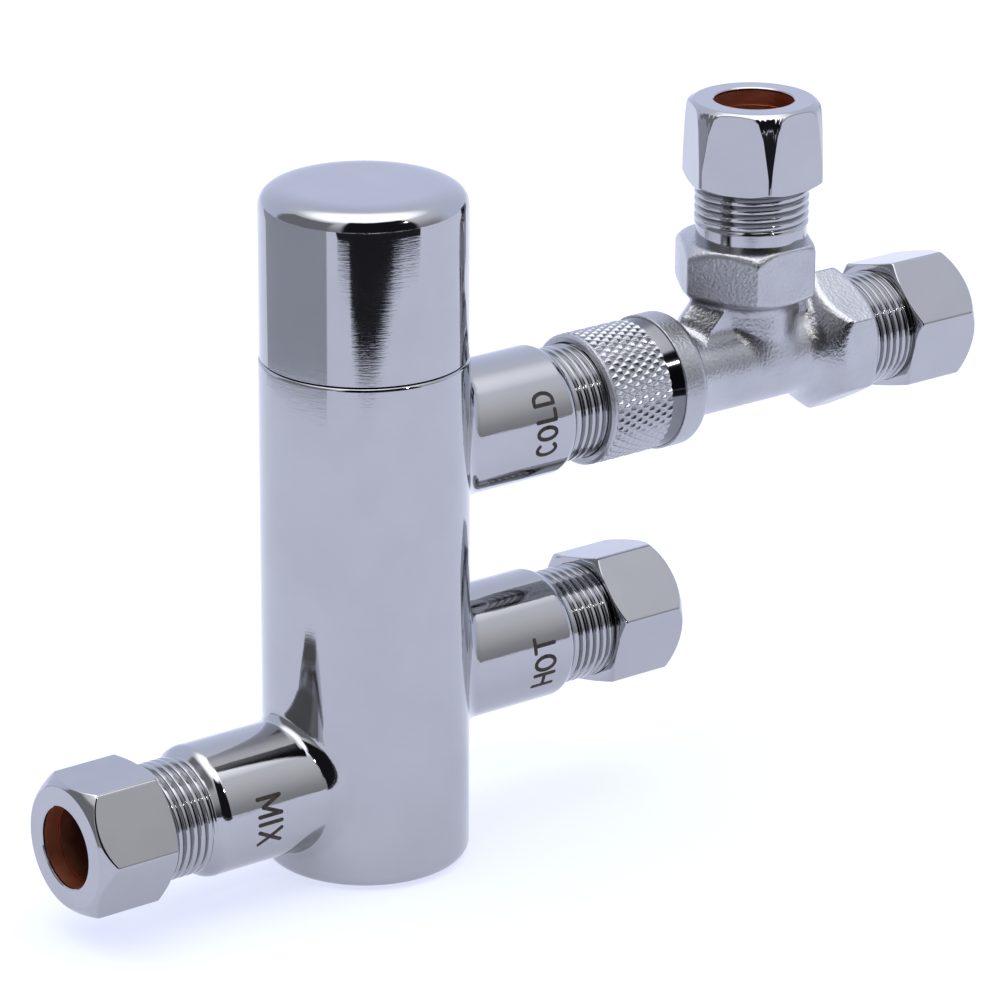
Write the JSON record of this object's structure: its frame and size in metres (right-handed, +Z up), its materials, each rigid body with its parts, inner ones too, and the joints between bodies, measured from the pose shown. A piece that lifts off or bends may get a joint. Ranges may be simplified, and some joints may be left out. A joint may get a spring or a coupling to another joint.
{
  "type": "thermostatic mixing valve",
  "caption": "Point-of-use mixing valve: capped column with hot and mixed compression outlets, and a knurled union that carries a forged cold tee",
  "frame": {"origin": "centre of the column's flat base", "axes": "+Z up the column, +X along the hot and cold inlets, so the mixed outlet points along -X"},
  "size_m": [0.1337, 0.025, 0.0846],
  "materials": {
    "chrome_body": "polished chrome plate on brass",
    "chrome_cap": "polished chrome plate on brass",
    "chrome_nut": "polished chrome plate on brass",
    "chrome_knurled": "chrome plate over a fine knurl",
    "chrome_cast": "chrome plate over a rough forging",
    "brass": "turned brass",
    "copper": "bare copper",
    "steel": "stainless steel",
    "steel_mesh": "pierced stainless steel",
    "rubber": "black rubber",
    "white_plastic": "moulded plastic"
  },
  "bodies": {
    "housing": {"valve_body": "chrome_body", "bonnet": "brass", "bonnet_o_ring": "rubber", "cap_o_ring": "rubber", "return_spring": "steel", "hot_check_housing": "white_plastic", "hot_check_guide": "white_plastic", "hot_check_spring": "steel", "hot_check_o_ring": "rubber", "hot_strainer": "steel_mesh", "cold_check_housing": "white_plastic", "cold_check_guide": "white_plastic", "cold_check_spring": "steel", "cold_check_o_ring": "rubber", "cold_strainer": "steel_mesh"},
    "cap": {"cap": "chrome_cap"},
    "spindle": {"adjusting_spindle": "brass", "spindle_circlip": "steel", "spindle_o_ring": "rubber"},
    "cup": {"spring_cup": "brass", "pusher_circlip": "steel", "overtravel_spring": "steel"},
    "pusher": {"pusher": "brass"},
    "thermostat": {"shuttle": "white_plastic", "shuttle_o_ring": "rubber", "wax_element": "copper"},
    "piston": {"element_piston": "steel"},
    "hot_poppet": {"hot_check_poppet": "white_plastic"},
    "cold_poppet": {"cold_check_poppet": "white_plastic"},
    "coupling": {"union_ring": "steel", "union_seal": "rubber"},
    "knurled_nut": {"union_nut": "chrome_knurled"},
    "tee": {"tee_body": "chrome_cast"},
    "mix_sleeve": {"mix_ferrule": "copper"},
    "mix_hexagon": {"mix_nut": "chrome_nut"},
    "hot_sleeve": {"hot_ferrule": "copper"},
    "hot_hexagon": {"hot_nut": "chrome_nut"},
    "run_sleeve": {"run_ferrule": "copper"},
    "run_hexagon": {"run_nut": "chrome_nut"},
    "branch_sleeve": {"branch_ferrule": "copper"},
    "branch_hexagon": {"branch_nut": "chrome_nut"}
  },
  "joints": [
    {"name": "cap_pull", "type": "slide", "parent": "housing", "child": "cap", "axis": [0, 0, 1], "range_m": [0, 0.025]},
    {"name": "spindle_turn", "type": "hinge", "parent": "housing", "child": "spindle", "pos_m": [0, 0, 0.0735], "axis": [0, 0, 1], "range_deg": [-1080, 0]},
    {"name": "cup_slide", "type": "slide", "parent": "housing", "child": "cup", "axis": [0, 0, 1], "range_m": [0, 0.003]},
    {"name": "pusher_slide", "type": "slide", "parent": "cup", "child": "pusher", "axis": [0, 0, 1], "range_m": [0, 0.0015], "stiffness_N_per_m": 8000, "springref_m": -0.001, "deforming": ["overtravel_spring"]},
    {"name": "thermostat_slide", "type": "slide", "parent": "housing", "child": "thermostat", "axis": [0, 0, 1], "range_m": [-0.00058, 0.00058], "stiffness_N_per_m": 4000, "deforming": ["return_spring"]},
    {"name": "piston_slide", "type": "slide", "parent": "thermostat", "child": "piston", "axis": [0, 0, 1], "range_m": [-0.00058, 0.00058]},
    {"name": "hot_poppet_slide", "type": "slide", "parent": "housing", "child": "hot_poppet", "axis": [-1, 0, 0], "range_m": [0, 0.002], "stiffness_N_per_m": 30, "springref_m": -0.002, "deforming": ["hot_check_spring"]},
    {"name": "cold_poppet_slide", "type": "slide", "parent": "housing", "child": "cold_poppet", "axis": [-1, 0, 0], "range_m": [0, 0.002], "stiffness_N_per_m": 30, "springref_m": -0.002, "deforming": ["cold_check_spring"]},
    {"name": "mix_ferrule_slide", "type": "slide", "parent": "housing", "child": "mix_sleeve", "axis": [-1, 0, 0], "range_m": [0, 0.00635]},
    {"name": "mix_nut_turn", "type": "hinge", "parent": "mix_sleeve", "child": "mix_hexagon", "pos_m": [-0.038, 0, 0.0114], "axis": [-1, 0, 0], "range_deg": [0, 2160]},
    {"name": "hot_ferrule_slide", "type": "slide", "parent": "housing", "child": "hot_sleeve", "axis": [1, 0, 0], "range_m": [0, 0.00635]},
    {"name": "hot_nut_turn", "type": "hinge", "parent": "hot_sleeve", "child": "hot_hexagon", "pos_m": [0.038, 0, 0.0221], "axis": [1, 0, 0], "range_deg": [0, 2160]},
    {"name": "run_ferrule_slide", "type": "slide", "parent": "tee", "child": "run_sleeve", "axis": [1, 0, 0], "range_m": [0, 0.00635]},
    {"name": "run_nut_turn", "type": "hinge", "parent": "run_sleeve", "child": "run_hexagon", "pos_m": [0.085, 0, 0.0511], "axis": [1, 0, 0], "range_deg": [0, 2160]},
    {"name": "branch_ferrule_slide", "type": "slide", "parent": "tee", "child": "branch_sleeve", "axis": [0, 0, 1], "range_m": [0, 0.00635]},
    {"name": "branch_nut_turn", "type": "hinge", "parent": "branch_sleeve", "child": "branch_hexagon", "pos_m": [0.0591, 0, 0.079], "axis": [0, 0, 1], "range_deg": [0, 2160]},
    {"name": "coupling_slide", "type": "slide", "parent": "housing", "child": "coupling", "axis": [1, 0, 0], "range_m": [0, 0.00741]},
    {"name": "knurled_nut_turn", "type": "hinge", "parent": "coupling", "child": "knurled_nut", "pos_m": [0.0387, 0, 0.0511], "axis": [1, 0, 0], "range_deg": [0, 2520]},
    {"name": "tee_swivel", "type": "hinge", "parent": "coupling", "child": "tee", "pos_m": [0.0447, 0, 0.0511], "axis": [1, 0, 0], "continuous": true}
  ],
  "couplings": [
    {"joint": "spindle_turn", "follows": "cup_slide", "rad_per_m": -6283.2},
    {"joint": "piston_slide", "follows": "thermostat_slide", "ratio": -1},
    {"joint": "mix_nut_turn", "follows": "mix_ferrule_slide", "rad_per_m": 5936.9},
    {"joint": "hot_nut_turn", "follows": "hot_ferrule_slide", "rad_per_m": 5936.9},
    {"joint": "run_nut_turn", "follows": "run_ferrule_slide", "rad_per_m": 5936.9},
    {"joint": "branch_nut_turn", "follows": "branch_ferrule_slide", "rad_per_m": 5936.9},
    {"joint": "knurled_nut_turn", "follows": "coupling_slide", "rad_per_m": 5936.9}
  ]
}
